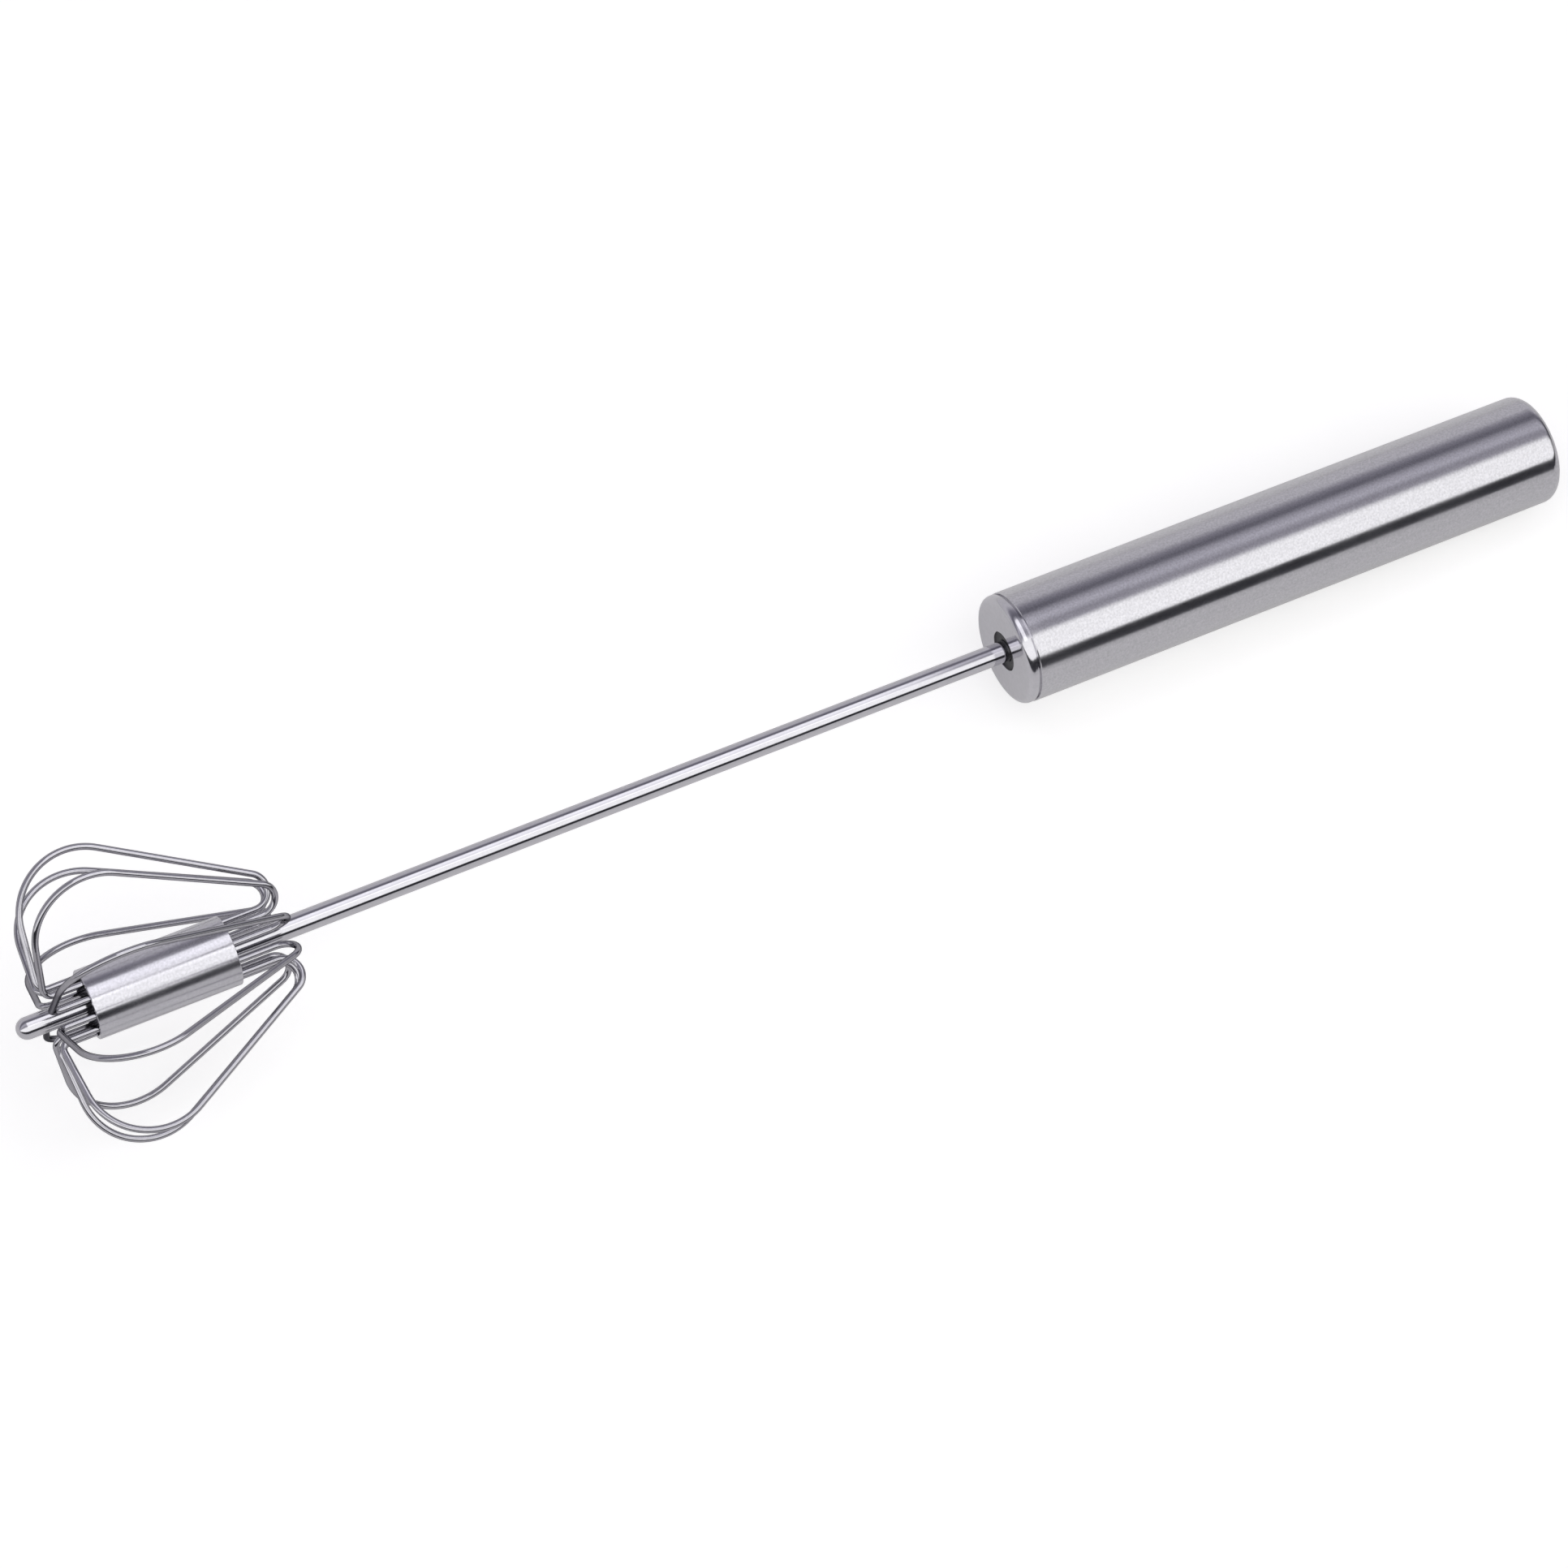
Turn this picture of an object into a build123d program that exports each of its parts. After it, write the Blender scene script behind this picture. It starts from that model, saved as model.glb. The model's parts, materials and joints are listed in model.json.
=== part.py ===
"""Hand-held push whisk: pushing the handle down the shaft spins the wire head.

The tool lies along X, from its tip to the palm end of its handle. The origin is on
the axis, at the middle of the handle. All sizes are in millimetres.
"""
from build123d import *
from math import asin, atan2, cos, hypot, pi, radians, sin, sqrt, tan
import os

# Handle: a drawn tube, closed at the palm end
handle_length = 111.9
handle_radius = 10.5
handle_wall = 0.6
palm_rounding = 2.1

# Lower cap, pressed into the open end of the handle
cap_face_thickness = 1.7
cap_seam = 0.6  # open line between the cap's flange and the tube
cap_flange_step = 0.1  # how far the flange stands back from the tube's outside
cap_rounding = 1.3
cap_hole_radius = 3.75
cap_skirt_length = 6.0
cap_skirt_wall = 1.0

# Guide bush and the rubber ring on top of it
bush_recess = 0.5  # from the cap's outer face to the bush
bush_flange_thickness = 2.5
bush_boss_wall = 2.6
bush_boss_length = 7.5
buffer_thickness = 1.5

# Shaft
shaft_radius = 2.0
shaft_wall = 0.4
shaft_reach = 194.0  # from the tip to the open end of the handle

# Wire head, with distances along the axis counted from the tip
wire_radius = 0.6
wire_leg_radius = 5.0  # from the axis to the straight legs of the loops
wire_end_gap = 0.6
foot_bend_radius = 1.8
foot_lean = 5.0  # degrees off square to the axis
# Largest distance of each wire's centre from its leg, and how many degrees each loop
# leans about its leg: the loops are bent and set by hand, so they differ a little.
loop_reaches = (20.0, 21.3, 20.0, 21.6, 20.6, 20.6, 21.0, 19.8, 20.8, 19.6)
loop_leans = (4.0, -1.5, -11.0, -4.0, -1.0, 12.0, 2.5, -5.0, 0.0, 1.0)
head_widest_place = 18.0
belly_bend_radius = 11.3
crown_place = 49.1  # the end of the loop, at the wire's centre
crown_bend_radius = 3.2
sleeve_place = 12.9
sleeve_length = 26.3
sleeve_wall = 0.7
hub_recess = 1.5

# Drive: a twisted strip, and a nut with the same twist
strip_pitch = 24.0  # length of one whole turn
strip_thickness = 0.8
strip_overlap = 8.5  # what stays below the nut's slot when the handle is up
nut_grip = 5.0  # length of the nut's bore over the shaft
nut_slot_length = 3.0
nut_flange_thickness = 2.0
nut_flange_radius = 7.0
nut_wall = 2.6
thrust_washer_thickness = 0.5
washer_thickness = 1.0
washer_hole_gap = 0.5  # the strip's corners in the washers' holes

# Top plug and its cross pin
plug_length = 8.0
plug_rounding = 2.6
plug_boss_radius = 6.2
plug_boss_length = 5.0
tang_inset = 2.0  # from the end of the tang to the end of the plug
pin_radius = 0.6
pin_inset = 5.0  # from the end of the plug to the pin

# Return spring
spring_wire_radius = 0.45
spring_turns = 18
spring_room = 0.45  # between the spring and the rim of its washers

# Fits and small edges
running_gap = 0.05  # radial, a shaft in its bush
snug_gap = 0.02  # pieces pressed or fixed together
slot_gap = 0.08  # each side of the strip in the nut
slide_gap = 0.3  # washers in the handle
strip_gap = 0.2  # the strip's corners in the shaft's bore
edge_break = 0.15

# Places along the axis
handle_mouth = -handle_length / 2
cap_back = handle_mouth - cap_seam
palm_end = handle_length / 2
tip_end = handle_mouth - shaft_reach
cap_face = cap_back - cap_face_thickness
bush_face = cap_face + bush_recess
bush_end = handle_mouth + bush_flange_thickness + bush_boss_length
nut_end = bush_end + buffer_thickness
shaft_end = nut_end + nut_grip
slot_end = shaft_end + nut_slot_length
thrust_face = slot_end
seat_face = thrust_face + thrust_washer_thickness
spring_foot = seat_face + washer_thickness
plug_top = palm_end - handle_wall
plug_face = plug_top - plug_length
boss_face = plug_face - plug_boss_length
spring_top = plug_face - washer_thickness
strip_foot = shaft_end - strip_overlap
tang_end = plug_top - tang_inset
pin_place = plug_top - pin_inset
sleeve_start = tip_end + sleeve_place
hub_start = sleeve_start + hub_recess
hub_end = sleeve_start + sleeve_length - hub_recess

# Sizes that follow from the ones above
wire_count = len(loop_reaches)
handle_bore = handle_radius - handle_wall
fixed_radius = handle_bore - snug_gap
cap_skirt_bore = fixed_radius - cap_skirt_wall
bush_bore = shaft_radius + running_gap
bush_boss_radius = bush_bore + bush_boss_wall
shaft_bore = shaft_radius - shaft_wall
strip_width = 2 * sqrt((shaft_bore - strip_gap) ** 2 - (strip_thickness / 2) ** 2)
hub_radius = wire_leg_radius + wire_radius
sleeve_bore = hub_radius + snug_gap
sleeve_radius = sleeve_bore + sleeve_wall
seat_radius = handle_bore - slide_gap
spring_radius = seat_radius - spring_room - spring_wire_radius
spring_length = spring_top - spring_foot
washer_hole_radius = shaft_bore - strip_gap + washer_hole_gap

os.makedirs("parts", exist_ok=True)


def save(piece, label):
    """Names a finished piece and writes it."""
    piece.label = label
    export_step(piece, f"parts/{label}.step")


def strip_angle(place):
    """Angle of the twisted strip at a place along the axis."""
    return 360 * (place - boss_face) / strip_pitch


def twisted_bar(start, end, width, thickness):
    """A flat bar that follows the drive strip's twist from start to end."""
    plane = Plane(origin=(start, 0, 0), x_dir=(0, 1, 0), z_dir=(1, 0, 0))
    section = plane * Rot(0, 0, strip_angle(start)) * Rectangle(width, thickness)
    along = Vector(end - start, 0, 0)
    turn = strip_angle(end) - strip_angle(start)
    return Solid.extrude_linear_with_rotation(section.face(), plane.origin, along, turn)


# Handle

with BuildPart() as handle_shell:
    with BuildSketch(Plane.YZ.offset(handle_mouth)):
        Circle(handle_radius)
    extrude(amount=handle_length)
    fillet(handle_shell.edges().sort_by(Axis.X)[-1], palm_rounding)
    mouth = handle_shell.faces().sort_by(Axis.X)[0]
    offset(amount=-handle_wall, openings=mouth)
    chamfer(handle_shell.edges().group_by(Axis.X)[0].sort_by(SortBy.LENGTH)[-1], edge_break)
save(handle_shell.part, "handle_shell")

with BuildPart() as lower_cap:
    with BuildSketch(Plane.YZ.offset(cap_face)):
        Circle(handle_radius - cap_flange_step)
    extrude(amount=cap_face_thickness)
    fillet(lower_cap.edges().sort_by(Axis.X)[0], cap_rounding)
    with BuildSketch(Plane.YZ.offset(cap_back)):
        Circle(fixed_radius)
        Circle(cap_skirt_bore, mode=Mode.SUBTRACT)
    extrude(amount=cap_seam + cap_skirt_length)
    with BuildSketch(Plane.YZ.offset(cap_face)):
        Circle(cap_hole_radius)
    extrude(amount=cap_face_thickness, mode=Mode.SUBTRACT)
    hole_edge = lower_cap.edges().group_by(Axis.X)[0].sort_by(SortBy.LENGTH)[0]
    fillet(hole_edge, edge_break)
    flange_back = lower_cap.faces().filter_by(Axis.X).sort_by(Axis.X)[1]
    fillet(flange_back.edges().sort_by(SortBy.LENGTH)[-1], edge_break)
save(lower_cap.part, "lower_cap")

with BuildPart() as guide_bush:
    with BuildSketch(Plane.YZ.offset(bush_face)):
        Circle(cap_hole_radius - snug_gap)
    extrude(amount=cap_back - bush_face)
    with BuildSketch(Plane.YZ.offset(cap_back)):
        Circle(cap_skirt_bore - snug_gap)
    extrude(amount=cap_seam + bush_flange_thickness)
    with BuildSketch(Plane.YZ.offset(handle_mouth + bush_flange_thickness)):
        Circle(bush_boss_radius)
    extrude(amount=bush_boss_length)
    with BuildSketch(Plane.YZ.offset(bush_face)):
        Circle(bush_bore)
    extrude(amount=bush_end - bush_face, mode=Mode.SUBTRACT)
    bore_edge = guide_bush.edges().group_by(Axis.X)[0].sort_by(SortBy.LENGTH)[0]
    chamfer(bore_edge, edge_break)
save(guide_bush.part, "guide_bush")

with BuildPart() as stop_buffer:
    with BuildSketch(Plane.YZ.offset(bush_end)):
        Circle(bush_boss_radius)
        Circle(shaft_radius + slide_gap, mode=Mode.SUBTRACT)
    extrude(amount=buffer_thickness)
save(stop_buffer.part, "stop_buffer")

with BuildPart() as top_plug:
    with BuildSketch(Plane.YZ.offset(plug_face)):
        Circle(fixed_radius)
    extrude(amount=plug_length)
    fillet(top_plug.edges().sort_by(Axis.X)[-1], plug_rounding)
    with BuildSketch(Plane.YZ.offset(boss_face)):
        Circle(plug_boss_radius)
    extrude(amount=plug_boss_length)
    with BuildSketch(Plane.YZ.offset(boss_face)):
        Rectangle(strip_width + 2 * snug_gap, strip_thickness + 2 * snug_gap)
    extrude(amount=tang_end + snug_gap - boss_face, mode=Mode.SUBTRACT)
    with BuildSketch(Plane.XY):
        with Locations((pin_place, 0)):
            Circle(pin_radius + snug_gap)
    extrude(amount=handle_radius, both=True, mode=Mode.SUBTRACT)
save(top_plug.part, "top_plug")

with BuildPart() as strip_pin:
    with BuildSketch(Plane.XY):
        with Locations((pin_place, 0)):
            Circle(pin_radius)
    extrude(amount=fixed_radius - slide_gap, both=True)
save(strip_pin.part, "strip_pin")

strip_bar = twisted_bar(strip_foot, boss_face, strip_width, strip_thickness)
with BuildPart() as drive_strip:
    add(strip_bar)
    with BuildSketch(Plane.YZ.offset(boss_face)):
        Rectangle(strip_width, strip_thickness)
    extrude(amount=tang_end - boss_face)
    with BuildSketch(Plane.XY):
        with Locations((pin_place, 0)):
            Circle(pin_radius + snug_gap)
    extrude(amount=strip_thickness, both=True, mode=Mode.SUBTRACT)
save(drive_strip.part, "drive_strip")

with BuildPart() as upper_spring_washer:
    with BuildSketch(Plane.YZ.offset(spring_top)):
        Circle(seat_radius)
        Circle(plug_boss_radius + snug_gap, mode=Mode.SUBTRACT)
    extrude(amount=washer_thickness)
save(upper_spring_washer.part, "upper_spring_washer")

with BuildPart() as return_spring:
    coil_height = spring_length - 2 * spring_wire_radius
    coil_foot = spring_foot + spring_wire_radius
    with BuildLine() as coil:
        Helix(coil_height / spring_turns, coil_height, spring_radius, (coil_foot, 0, 0), (1, 0, 0))
    with BuildSketch(Plane(origin=coil.line @ 0, z_dir=coil.line % 0)):
        Circle(spring_wire_radius)
    sweep(is_frenet=True)
save(return_spring.part, "return_spring")

# Spring seat, which slides without turning

with BuildPart() as lower_spring_washer:
    with BuildSketch(Plane.YZ.offset(seat_face)):
        Circle(seat_radius)
        Circle(washer_hole_radius, mode=Mode.SUBTRACT)
    extrude(amount=washer_thickness)
save(lower_spring_washer.part, "lower_spring_washer")

with BuildPart() as thrust_washer:
    with BuildSketch(Plane.YZ.offset(thrust_face)):
        Circle(nut_flange_radius)
        Circle(washer_hole_radius, mode=Mode.SUBTRACT)
    extrude(amount=thrust_washer_thickness)
save(thrust_washer.part, "thrust_washer")

# Shaft and drive nut, which slide and turn

slot_width = strip_width + 2 * slot_gap
slot_height = strip_thickness + 2 * slot_gap
cut_past = slot_gap  # the slot's cutter runs this far past both faces
slot_bar = twisted_bar(shaft_end - cut_past, slot_end + cut_past, slot_width, slot_height)
with BuildPart() as drive_nut:
    with BuildSketch(Plane.YZ.offset(nut_end)):
        Circle(shaft_radius + nut_wall)
    extrude(amount=slot_end - nut_end)
    with BuildSketch(Plane.YZ.offset(slot_end - nut_flange_thickness)):
        Circle(nut_flange_radius)
    extrude(amount=nut_flange_thickness)
    with BuildSketch(Plane.YZ.offset(nut_end)):
        Circle(shaft_radius + snug_gap)
    extrude(amount=nut_grip, mode=Mode.SUBTRACT)
    add(slot_bar, mode=Mode.SUBTRACT)
save(drive_nut.part, "drive_nut")

with BuildPart() as shaft_tube:
    with BuildSketch(Plane.YZ.offset(hub_start)):
        Circle(shaft_radius)
        Circle(shaft_bore, mode=Mode.SUBTRACT)
    extrude(amount=shaft_end - hub_start)
save(shaft_tube.part, "shaft_tube")

with BuildPart() as pivot_tip:
    with BuildSketch(Plane.YZ.offset(tip_end)):
        Circle(shaft_radius)
    extrude(amount=hub_start - tip_end)
    with BuildSketch(Plane.YZ.offset(hub_start)):
        Circle(shaft_bore - snug_gap)
    extrude(amount=sleeve_length / 2)
    nose = pivot_tip.edges().sort_by(Axis.X)[0]
    fillet(nose, shaft_radius - snug_gap)
save(pivot_tip.part, "pivot_tip")

# Wire head

with BuildPart() as wire_hub:
    with BuildSketch(Plane.YZ.offset(hub_start)):
        Circle(hub_radius)
        Circle(shaft_radius + snug_gap, mode=Mode.SUBTRACT)
        with PolarLocations(wire_leg_radius, wire_count):
            Circle(wire_radius + snug_gap, mode=Mode.SUBTRACT)
            with Locations((wire_radius, 0)):
                Rectangle(2 * wire_radius, 2 * (wire_radius + snug_gap), mode=Mode.SUBTRACT)
    extrude(amount=hub_end - hub_start)
save(wire_hub.part, "wire_hub")

with BuildPart() as crimp_sleeve:
    with BuildSketch(Plane.YZ.offset(sleeve_start)):
        Circle(sleeve_radius)
        Circle(sleeve_bore, mode=Mode.SUBTRACT)
    extrude(amount=sleeve_length)
    for end_edges in (
        crimp_sleeve.edges().group_by(Axis.X)[0],
        crimp_sleeve.edges().group_by(Axis.X)[-1],
    ):
        fillet(end_edges.sort_by(SortBy.LENGTH)[-1], edge_break)
save(crimp_sleeve.part, "crimp_sleeve")

# A loop before its bends are rounded is a triangle on its straight leg: the foot run and
# the flank both touch the belly's arc, and the flank touches the crown's arc too.
# Heights are counted from the leg.
lean = radians(foot_lean)
belly_x = tip_end + head_widest_place
crown_x = tip_end + crown_place - crown_bend_radius
leg_middle = (hub_start + hub_end) / 2
bend_difference = belly_bend_radius - crown_bend_radius


def loop_corners(reach):
    """Foot, belly and crown corners of a loop that stands this high on its leg."""
    belly_height = reach - belly_bend_radius
    centre_run = crown_x - belly_x
    centre_drop = belly_height - crown_bend_radius
    flank = atan2(centre_drop, centre_run)
    flank += asin(bend_difference / hypot(centre_run, centre_drop))
    foot_touch_x = belly_x - belly_bend_radius * cos(lean)
    foot_touch_height = belly_height + belly_bend_radius * sin(lean)
    flank_touch_x = belly_x + belly_bend_radius * sin(flank)
    flank_touch_height = belly_height + belly_bend_radius * cos(flank)
    foot_x = foot_touch_x - foot_touch_height * tan(lean)
    crown_corner_x = flank_touch_x + flank_touch_height / tan(flank)
    rise = (crown_corner_x - foot_x) * tan(flank) / (1 + tan(lean) * tan(flank))
    return (foot_x, 0), (foot_x + rise * tan(lean), rise), (crown_corner_x, 0)


for number in range(wire_count):
    groove = 2 * pi / wire_count * number
    set_angle = groove + radians(loop_leans[number])
    loop_plane = Plane(
        origin=(0, wire_leg_radius * cos(groove), wire_leg_radius * sin(groove)),
        x_dir=(1, 0, 0),
        z_dir=(0, -sin(set_angle), cos(set_angle)),
    )
    with BuildPart() as whisk_wire:
        with BuildLine(loop_plane) as loop_line:
            FilletPolyline(
                (leg_middle - wire_end_gap / 2, 0),
                *loop_corners(loop_reaches[number]),
                (leg_middle + wire_end_gap / 2, 0),
                radius=[foot_bend_radius, belly_bend_radius, crown_bend_radius],
            )
        with BuildSketch(Plane(origin=loop_line.line @ 0, z_dir=loop_line.line % 0)):
            Circle(wire_radius)
        sweep()
    save(whisk_wire.part, f"whisk_wire_{number + 1:02d}")
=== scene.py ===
import bpy
import json
import math
from mathutils import Matrix, Vector


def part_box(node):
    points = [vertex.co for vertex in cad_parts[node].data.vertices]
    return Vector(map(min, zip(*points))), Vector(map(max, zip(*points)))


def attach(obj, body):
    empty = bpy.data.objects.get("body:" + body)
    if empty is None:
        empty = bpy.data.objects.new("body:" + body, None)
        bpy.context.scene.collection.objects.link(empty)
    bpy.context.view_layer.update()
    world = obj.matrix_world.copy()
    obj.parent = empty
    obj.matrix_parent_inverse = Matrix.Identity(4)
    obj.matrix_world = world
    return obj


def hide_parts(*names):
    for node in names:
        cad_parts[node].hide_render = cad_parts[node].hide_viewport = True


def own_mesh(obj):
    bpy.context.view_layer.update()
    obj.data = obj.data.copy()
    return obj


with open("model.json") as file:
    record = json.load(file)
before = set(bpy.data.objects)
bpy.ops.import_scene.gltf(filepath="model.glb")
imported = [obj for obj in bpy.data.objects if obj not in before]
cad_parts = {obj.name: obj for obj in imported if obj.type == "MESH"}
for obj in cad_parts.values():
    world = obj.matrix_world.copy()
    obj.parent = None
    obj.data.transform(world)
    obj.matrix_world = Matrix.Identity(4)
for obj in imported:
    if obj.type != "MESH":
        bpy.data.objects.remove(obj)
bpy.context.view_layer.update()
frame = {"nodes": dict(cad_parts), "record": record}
print("frame loaded:", len(frame["nodes"]), "nodes")

mm = 0.001
pushTravel = 60 * mm  # how far the handle goes down the shaft

handleLow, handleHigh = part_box("handle_shell")
handleRadius = (handleHigh.z - handleLow.z) / 2
wireNodes = sorted(n for n in frame["nodes"] if n.startswith("whisk_wire"))

# The tool's axis runs across the view, rising to the right, with the wire head nearer
camera = {
    "lens": 111.8,
    "turnRoundAxis": 27.0,  # degrees from +Z, about the tool's axis, towards -Y
    "headNearer": 17.4,  # degrees between the axis and the view's plane
    "rise": 21.267,  # degrees that the axis rises in the view
    "distance": 871.2 * mm,
    "aimX": -106.37 * mm,  # the place on the axis that the camera is level with
    "aimBelow": 7.995 * mm,
    "sensorWidth": 36,
    "clipStart": 0.01,
    "clipEnd": 20,
}


def makeCamera():
    turn = math.radians(camera["turnRoundAxis"])
    lean = math.radians(camera["headNearer"])
    rise = math.radians(camera["rise"])
    alongAxis = Vector((1, 0, 0))
    upAcross = Vector((0, math.cos(turn), math.sin(turn)))
    toCamera = alongAxis.cross(upAcross)
    forward = math.sin(lean) * alongAxis - math.cos(lean) * toCamera
    axisInView = math.cos(lean) * alongAxis + math.sin(lean) * toCamera
    right = math.cos(rise) * axisInView - math.sin(rise) * upAcross
    up = math.sin(rise) * axisInView + math.cos(rise) * upAcross
    place = Vector((camera["aimX"], 0, 0)) - camera["aimBelow"] * upAcross
    place -= camera["distance"] * forward
    data = bpy.data.cameras.new("camera")
    data.lens = camera["lens"]
    data.sensor_width = camera["sensorWidth"]
    data.clip_start = camera["clipStart"]
    data.clip_end = camera["clipEnd"]
    cam = bpy.data.objects.new("camera", data)
    turned = Matrix((right, up, -forward)).transposed().to_4x4()
    cam.matrix_world = Matrix.Translation(place) @ turned
    bpy.context.scene.collection.objects.link(cam)
    bpy.context.scene.camera = cam


makeCamera()
print("camera placed")


def newMaterial(name):
    mat = bpy.data.materials.new(name)
    mat.use_nodes = True
    mat.node_tree.nodes.clear()
    out = mat.node_tree.nodes.new("ShaderNodeOutputMaterial")
    return mat, mat.node_tree, out


def addNode(tree, kind, **settings):
    node = tree.nodes.new(kind)
    for key, value in settings.items():
        setattr(node, key, value)
    return node


def objectPlace(tree, scale=(1, 1, 1)):
    # places in the tool's own frame, stretched by scale
    coord = addNode(tree, "ShaderNodeTexCoord")
    mapping = addNode(tree, "ShaderNodeMapping")
    mapping.inputs["Scale"].default_value = scale
    tree.links.new(coord.outputs["Object"], mapping.inputs["Vector"])
    return mapping.outputs["Vector"]


def noise(tree, place, scale, detail, rough=0.55):
    node = addNode(tree, "ShaderNodeTexNoise")
    node.inputs["Scale"].default_value = scale
    node.inputs["Detail"].default_value = detail
    node.inputs["Roughness"].default_value = rough
    tree.links.new(place, node.inputs["Vector"])
    return node.outputs["Fac"]


noiseRange = (0.3, 0.7)  # where most of a noise texture's values lie


def spread(tree, value, low, high, fromLow=noiseRange[0], fromHigh=noiseRange[1]):
    # a texture's value moved into the range low to high
    node = addNode(tree, "ShaderNodeMapRange")
    node.inputs["From Min"].default_value = fromLow
    node.inputs["From Max"].default_value = fromHigh
    node.inputs["To Min"].default_value = low
    node.inputs["To Max"].default_value = high
    tree.links.new(value, node.inputs["Value"])
    return node.outputs["Result"]


def colourRamp(tree, value, stops):
    node = addNode(tree, "ShaderNodeValToRGB")
    marks = node.color_ramp.elements
    while len(marks) < len(stops):
        marks.new(1.0)
    for mark, (place, colour) in zip(marks, stops):
        mark.position = place
        mark.color = (*colour, 1.0)
    tree.links.new(value, node.inputs["Fac"])
    return node.outputs["Color"]


def shades(tree, value, colour, darker, lighter):
    # a colour that a texture varies between two nearby shades
    low = tuple(c * darker for c in colour)
    high = tuple(min(c * lighter, 1.0) for c in colour)
    return colourRamp(tree, value, ((noiseRange[0], low), (noiseRange[1], high)))


def bump(tree, height, strength, distance):
    node = addNode(tree, "ShaderNodeBump")
    node.inputs["Strength"].default_value = strength
    node.inputs["Distance"].default_value = distance
    tree.links.new(height, node.inputs["Height"])
    return node.outputs["Normal"]


room = {
    "floorHalfSize": 1.6,
    "floorColour": (0.66, 0.655, 0.645),
    "floorLift": 0.54,  # what the camera sees added to the lit floor
    "glossShare": 0.25,  # how much of that lift polished metal shows
    "palmRounding": 2.1 * mm,
    "grainScale": 60,
    "grainDetail": 3,
    "shade": (0.99, 1.01),
}


def floorSlope():
    # the palm end rests on the floor, which slopes away so that the loops clear it
    # at any turn of the head, with the handle up or pushed down
    palmX = handleHigh.x - room["palmRounding"]
    slope = 0.0
    for name in wireNodes:
        for vert in frame["nodes"][name].data.vertices:
            drop = math.hypot(vert.co.y, vert.co.z) - handleRadius
            slope = max(slope, drop / (palmX - vert.co.x - pushTravel))
    return slope, palmX


def makeFloor():
    slope, palmX = floorSlope()
    half = room["floorHalfSize"]
    mesh = bpy.data.meshes.new("floor")
    corners = []
    for x, y in ((-half, -half), (half, -half), (half, half), (-half, half)):
        corners.append((x, y, -handleRadius - slope * (palmX - x)))
    mesh.from_pydata(corners, [], [(0, 1, 2, 3)])
    floor = bpy.data.objects.new("floor", mesh)
    bpy.context.scene.collection.objects.link(floor)
    mat, tree, out = newMaterial("paleFloor")
    diffuse = addNode(tree, "ShaderNodeBsdfDiffuse")
    grain = noise(tree, objectPlace(tree), room["grainScale"], room["grainDetail"])
    tone = shades(tree, grain, room["floorColour"], *room["shade"])
    tree.links.new(tone, diffuse.inputs["Color"])
    lift = addNode(tree, "ShaderNodeEmission")
    path = addNode(tree, "ShaderNodeLightPath")
    gloss = addNode(tree, "ShaderNodeMath", operation="MULTIPLY")
    gloss.inputs[1].default_value = room["glossShare"]
    tree.links.new(path.outputs["Is Glossy Ray"], gloss.inputs[0])
    seen = addNode(tree, "ShaderNodeMath", operation="ADD")
    tree.links.new(path.outputs["Is Camera Ray"], seen.inputs[0])
    tree.links.new(gloss.outputs[0], seen.inputs[1])
    clear = addNode(tree, "ShaderNodeMath", operation="ADD")
    tree.links.new(seen.outputs[0], clear.inputs[0])
    tree.links.new(path.outputs["Is Transmission Ray"], clear.inputs[1])
    strength = addNode(tree, "ShaderNodeMath", operation="MULTIPLY")
    strength.inputs[1].default_value = room["floorLift"]
    tree.links.new(clear.outputs[0], strength.inputs[0])
    tree.links.new(strength.outputs[0], lift.inputs["Strength"])
    both = addNode(tree, "ShaderNodeAddShader")
    tree.links.new(diffuse.outputs[0], both.inputs[0])
    tree.links.new(lift.outputs[0], both.inputs[1])
    tree.links.new(both.outputs[0], out.inputs["Surface"])
    mesh.materials.append(mat)


# The studio's walls by their angle round the tool: 0 is level in front, 90 overhead,
# 180 level behind. One long soft box stands in front, with a dark gap under it.
studio = {
    "bands": (
        (-180, (0.55, 0.55, 0.56)),
        (-8, (0.45, 0.45, 0.46)),
        (-3, (0.06, 0.06, 0.07)),
        (15, (0.03, 0.03, 0.035)),
        (24, (0.02, 0.02, 0.025)),
        (26, (1.38, 1.38, 1.38)),
        (67, (1.35, 1.35, 1.35)),
        (76, (0.41, 0.40, 0.45)),
        (86, (0.35, 0.34, 0.39)),
        (98, (0.61, 0.60, 0.67)),
        (110, (0.47, 0.46, 0.52)),
        (121, (0.17, 0.165, 0.20)),
        (126, (0.17, 0.165, 0.20)),
        (137, (0.29, 0.28, 0.33)),
        (150, (0.61, 0.60, 0.64)),
        (180, (0.61, 0.60, 0.63)),
    ),
    "darkEndFrom": 0.80,  # how far towards the palm end the wall starts to darken
    "darkEnd": 0.10,  # how bright that end wall is, next to the others
}

# A soft lamp over the shaft and the wire head only
headLamp = {
    "place": (-113 * mm, 0, 300 * mm),
    "length": 294 * mm,
    "width": 250 * mm,
    "watts": 0.20,
}


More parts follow.
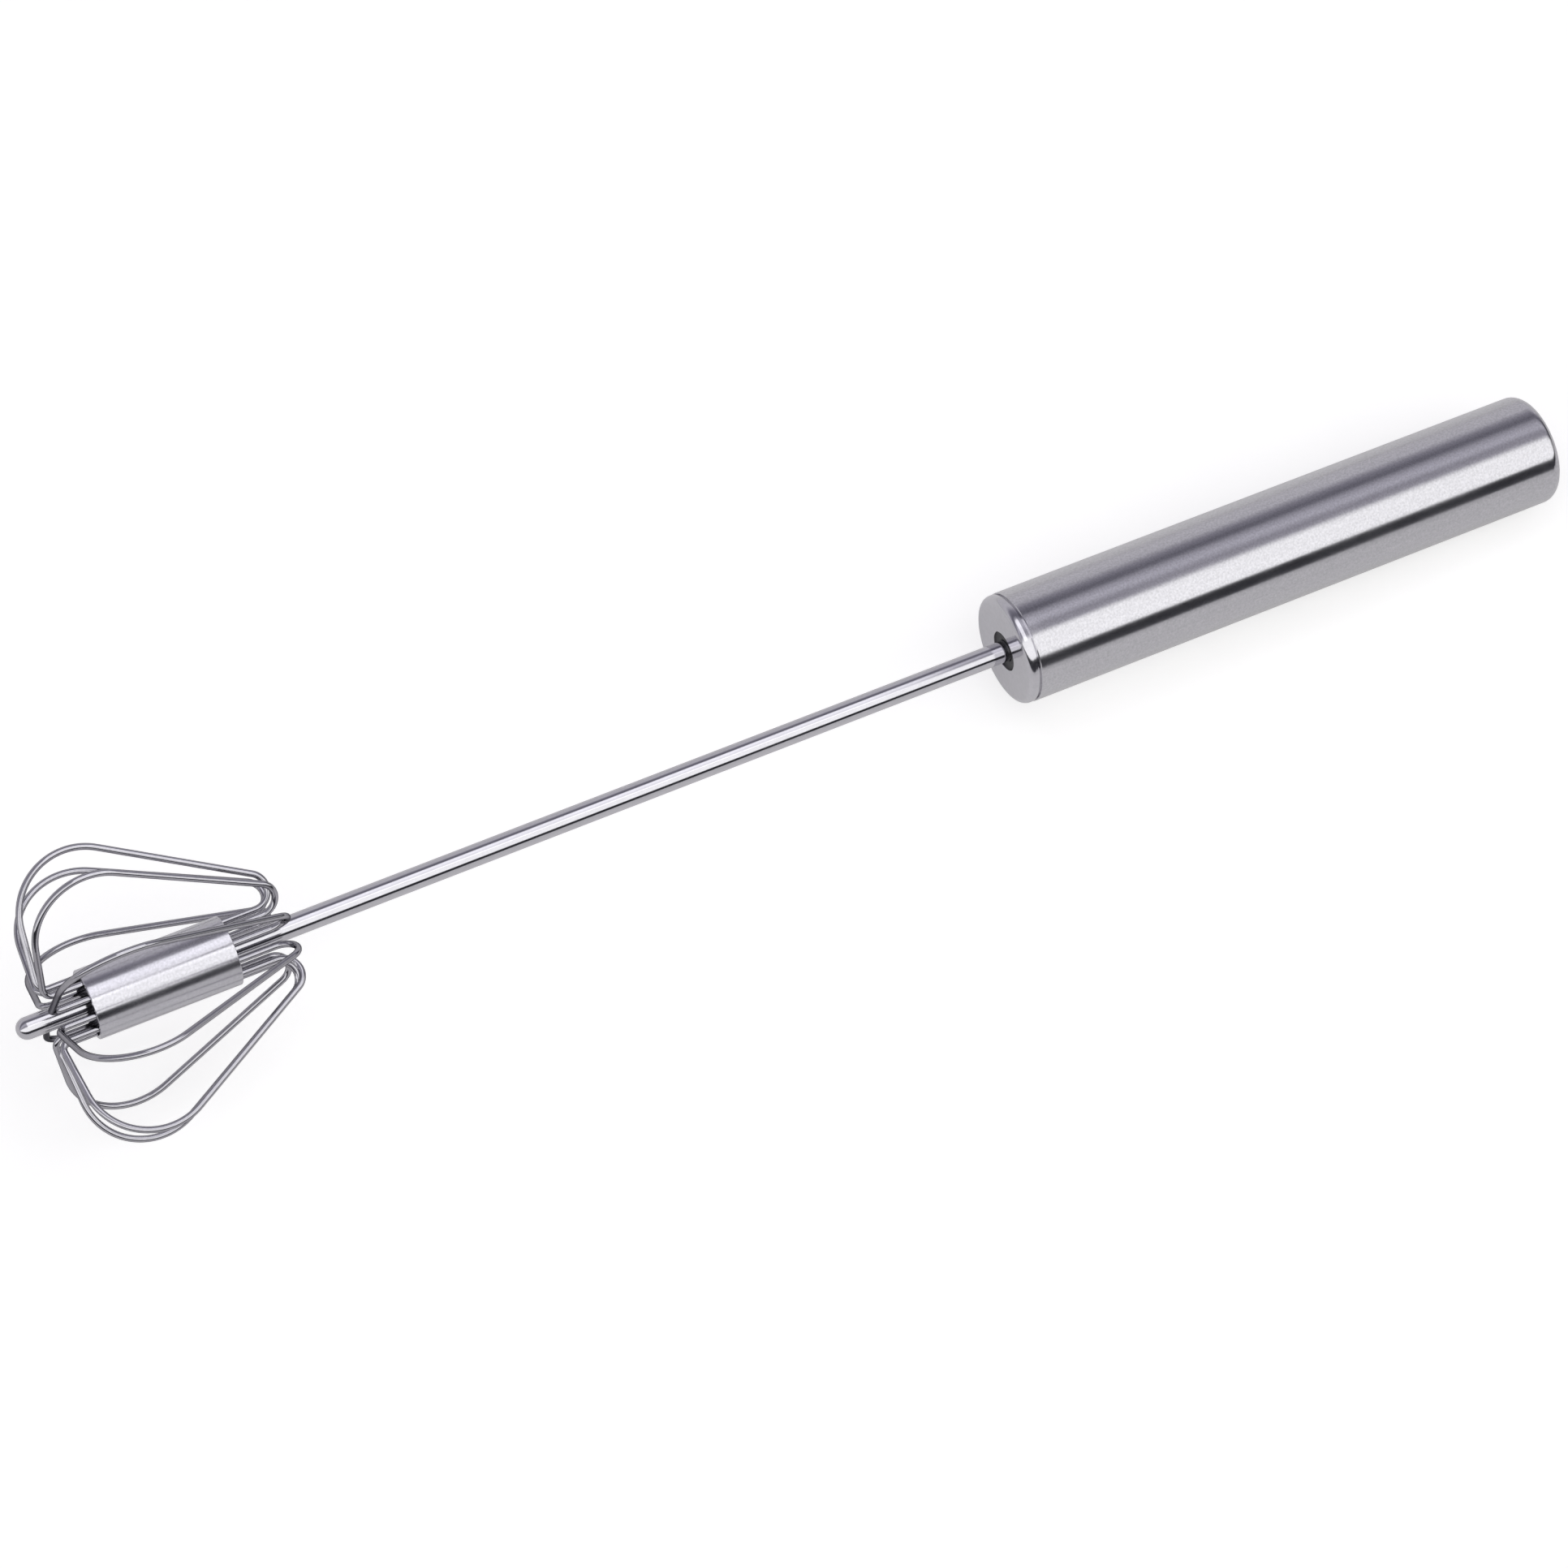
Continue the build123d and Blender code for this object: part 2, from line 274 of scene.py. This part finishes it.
def makeStudio():
    world = bpy.data.worlds.new("studio")
    bpy.context.scene.world = world
    world.use_nodes = True
    tree = world.node_tree
    tree.nodes.clear()
    out = addNode(tree, "ShaderNodeOutputWorld")
    coord = addNode(tree, "ShaderNodeTexCoord")
    parts = addNode(tree, "ShaderNodeSeparateXYZ")
    tree.links.new(coord.outputs["Generated"], parts.inputs[0])
    front = addNode(tree, "ShaderNodeMath", operation="MULTIPLY")
    front.inputs[1].default_value = -1
    tree.links.new(parts.outputs["Y"], front.inputs[0])
    angle = addNode(tree, "ShaderNodeMath", operation="ARCTAN2")
    tree.links.new(parts.outputs["Z"], angle.inputs[0])
    tree.links.new(front.outputs[0], angle.inputs[1])
    turn = spread(tree, angle.outputs[0], 0, 1, -math.pi, math.pi)
    peak = max(max(colour) for _, colour in studio["bands"])
    stops = []
    for degrees, colour in studio["bands"]:
        stops.append(((degrees + 180) / 360, tuple(c / peak for c in colour)))
    walls = colourRamp(tree, turn, stops)
    endWall = spread(
        tree, parts.outputs["X"], 1, studio["darkEnd"], studio["darkEndFrom"], 1
    )
    strength = addNode(tree, "ShaderNodeMath", operation="MULTIPLY")
    strength.inputs[1].default_value = peak
    tree.links.new(endWall, strength.inputs[0])
    light = addNode(tree, "ShaderNodeBackground")
    tree.links.new(strength.outputs[0], light.inputs["Strength"])
    tree.links.new(walls, light.inputs["Color"])
    tree.links.new(light.outputs[0], out.inputs["Surface"])


def makeHeadLamp():
    data = bpy.data.lights.new("headLamp", "AREA")
    data.shape = "RECTANGLE"
    data.size = headLamp["length"]
    data.size_y = headLamp["width"]
    data.energy = headLamp["watts"]
    lamp = bpy.data.objects.new("headLamp", data)
    lamp.location = headLamp["place"]
    lamp.visible_camera = False
    bpy.context.scene.collection.objects.link(lamp)


makeFloor()
makeStudio()
makeHeadLamp()
print("floor and studio made")


# What all the steels share: drawn lines, cloudy patches of polish, and a fine grain
steelGrain = {
    "lineScale": 1.0,
    "lineDetail": 5,
    "lineRough": 0.6,
    "lineStrength": 0.6,
    "cloudScale": 90,
    "cloudDetail": 3,
    "grainScale": 2400,
    "grainDetail": 2,
    "shade": (0.96, 1.04),
}

satinSteel = {
    "colour": (0.60, 0.593, 0.62),
    "roughness": (0.12, 0.18),
    "stretch": (6, 900, 900),  # drawn lines run along the tube
    "lineDepth": 0.0006 * mm,
    "grainTone": 0.10,
}

polishedSteel = {
    "colour": (0.62, 0.613, 0.645),
    "roughness": (0.09, 0.15),
    "stretch": (300, 1200, 1200),
    "lineDepth": 0.0004 * mm,
    "grainTone": 0.02,
}

sleeveSteel = {
    "colour": (0.62, 0.612, 0.65),
    "roughness": (0.17, 0.25),
    "stretch": (8, 1500, 1500),
    "lineDepth": 0.003 * mm,
    "grainTone": 0.08,
}

wireSteel = {
    "colour": (0.47, 0.463, 0.495),
    "paintedEdgeShade": (0.15, 0.15, 0.16),  # painted shade: dark glancing edges on the wire, standing in for the dark rims its reflections give
    "roughness": (0.06, 0.12),
    "stretch": (900, 900, 900),
    "lineDepth": 0.001 * mm,
    "grainTone": 0.05,
}

springSteel = {
    "colour": (0.52, 0.52, 0.53),
    "roughness": (0.22, 0.38),
    "stretch": (900, 900, 900),
    "lineDepth": 0.002 * mm,
    "grainTone": 0.03,
}

# What the moulded pieces share
mouldedGrain = {
    "detail": 3,
    "cloudsCoarser": 12,
    "shade": (0.88, 1.12),
    "strength": 0.5,
    "depth": 0.01 * mm,
}

blackNylon = {
    "colour": (0.012, 0.012, 0.013),
    "roughness": (0.35, 0.5),
    "grainScale": 3000,
}

paleNylon = {
    "colour": (0.78, 0.77, 0.72),
    "roughness": (0.4, 0.55),
    "grainScale": 3000,
}

blackRubber = {
    "colour": (0.02, 0.02, 0.02),
    "roughness": (0.65, 0.85),
    "grainScale": 5000,
}


def makeSteel(name, look):
    mat, tree, out = newMaterial(name)
    steel = addNode(tree, "ShaderNodeBsdfPrincipled")
    steel.inputs["Metallic"].default_value = 1.0
    # painted shade: a look's dark edge colour darkens the metal at a glancing view; white
    # where none is given
    steel.inputs["Specular Tint"].default_value = (*look.get("paintedEdgeShade", (1, 1, 1)), 1)
    kind = steelGrain
    lined = objectPlace(tree, look["stretch"])
    lines = noise(tree, lined, kind["lineScale"], kind["lineDetail"], kind["lineRough"])
    place = objectPlace(tree)
    clouds = noise(tree, place, kind["cloudScale"], kind["cloudDetail"])
    grain = noise(tree, place, kind["grainScale"], kind["grainDetail"])
    tone = shades(tree, lines, look["colour"], *kind["shade"])
    fleck = spread(tree, grain, 1 - look["grainTone"], 1 + look["grainTone"])
    mixed = addNode(tree, "ShaderNodeVectorMath", operation="SCALE")
    tree.links.new(tone, mixed.inputs[0])
    tree.links.new(fleck, mixed.inputs["Scale"])
    tree.links.new(mixed.outputs[0], steel.inputs["Base Color"])
    tree.links.new(spread(tree, clouds, *look["roughness"]), steel.inputs["Roughness"])
    relief = bump(tree, lines, kind["lineStrength"], look["lineDepth"])
    tree.links.new(relief, steel.inputs["Normal"])
    tree.links.new(steel.outputs[0], out.inputs["Surface"])
    return mat


def makeMoulded(name, look):
    mat, tree, out = newMaterial(name)
    body = addNode(tree, "ShaderNodeBsdfPrincipled")
    kind = mouldedGrain
    place = objectPlace(tree)
    grain = noise(tree, place, look["grainScale"], kind["detail"])
    clouds = noise(tree, place, look["grainScale"] / kind["cloudsCoarser"], kind["detail"])
    tone = shades(tree, clouds, look["colour"], *kind["shade"])
    tree.links.new(tone, body.inputs["Base Color"])
    tree.links.new(spread(tree, grain, *look["roughness"]), body.inputs["Roughness"])
    relief = bump(tree, grain, kind["strength"], kind["depth"])
    tree.links.new(relief, body.inputs["Normal"])
    tree.links.new(body.outputs[0], out.inputs["Surface"])
    return mat


finishes = {
    "satin_steel": makeSteel("satinSteel", satinSteel),
    "polished_steel": makeSteel("polishedSteel", polishedSteel),
    "sleeve_steel": makeSteel("sleeveSteel", sleeveSteel),
    "wire_steel": makeSteel("wireSteel", wireSteel),
    "spring_steel": makeSteel("springSteel", springSteel),
    "dark_nylon": makeMoulded("blackNylon", blackNylon),
    "pale_nylon": makeMoulded("paleNylon", paleNylon),
    "rubber": makeMoulded("blackRubber", blackRubber),
}


def paintNodes():
    slotOf = {s["node"]: s["material_slot"] for s in frame["record"]["subparts"]}
    for name, obj in frame["nodes"].items():
        mat = finishes[slotOf[name]]
        if not obj.material_slots:
            obj.data.materials.append(mat)
        for holder in obj.material_slots:
            holder.material = mat


paintNodes()
print("finishes given")


spring = {
    "wireRadius": 0.45 * mm,
    "turns": 18,
    "closedTurns": 1.25,  # at each end, lying on the washer
    "stepsPerTurn": 32,
    "closedPitch": 1.04,  # of a closed turn, in wire diameters
    "roundSteps": 3,
}


def springLine():
    low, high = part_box("return_spring")
    wire = spring["wireRadius"]
    radius = (high.y - low.y) / 2 - wire
    start, length = low.x + wire, high.x - low.x - 2 * wire
    closed = spring["closedTurns"]
    closedRise = closed * 2 * wire * spring["closedPitch"]
    openTurns = spring["turns"] - 2 * closed
    points = []
    count = int(spring["turns"] * spring["stepsPerTurn"])
    for i in range(count + 1):
        turn = spring["turns"] * i / count
        if turn < closed:
            rise = closedRise * turn / closed
        elif turn > spring["turns"] - closed:
            rise = length - closedRise * (spring["turns"] - turn) / closed
        else:
            rise = closedRise + (length - 2 * closedRise) * (turn - closed) / openTurns
        angle = 2 * math.pi * turn
        points.append((start + rise, radius * math.cos(angle), radius * math.sin(angle)))
    return points, low.x, high.x


def makeSpring():
    points, lowX, highX = springLine()
    curve = bpy.data.curves.new("returnSpring", "CURVE")
    curve.dimensions = "3D"
    curve.bevel_depth = spring["wireRadius"]
    curve.bevel_resolution = spring["roundSteps"]
    curve.use_fill_caps = True
    line = curve.splines.new("POLY")
    line.points.add(len(points) - 1)
    for point, place in zip(line.points, points):
        point.co = (*place, 1)
    holder = bpy.data.objects.new("springCurve", curve)
    bpy.context.scene.collection.objects.link(holder)
    bpy.context.view_layer.update()
    solid = holder.evaluated_get(bpy.context.evaluated_depsgraph_get())
    mesh = bpy.data.meshes.new_from_object(solid)
    bpy.data.objects.remove(holder)
    for face in mesh.polygons:
        face.use_smooth = True
    mesh.materials.clear()
    mesh.materials.append(finishes["spring_steel"])
    piece = bpy.data.objects.new("returnSpring", mesh)
    bpy.context.scene.collection.objects.link(piece)
    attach(piece, "handle")
    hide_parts("return_spring")
    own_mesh(piece)


makeSpring()
print("return spring wound")

bpy.context.scene.view_settings.view_transform = "Standard"
bpy.context.view_layer.update()
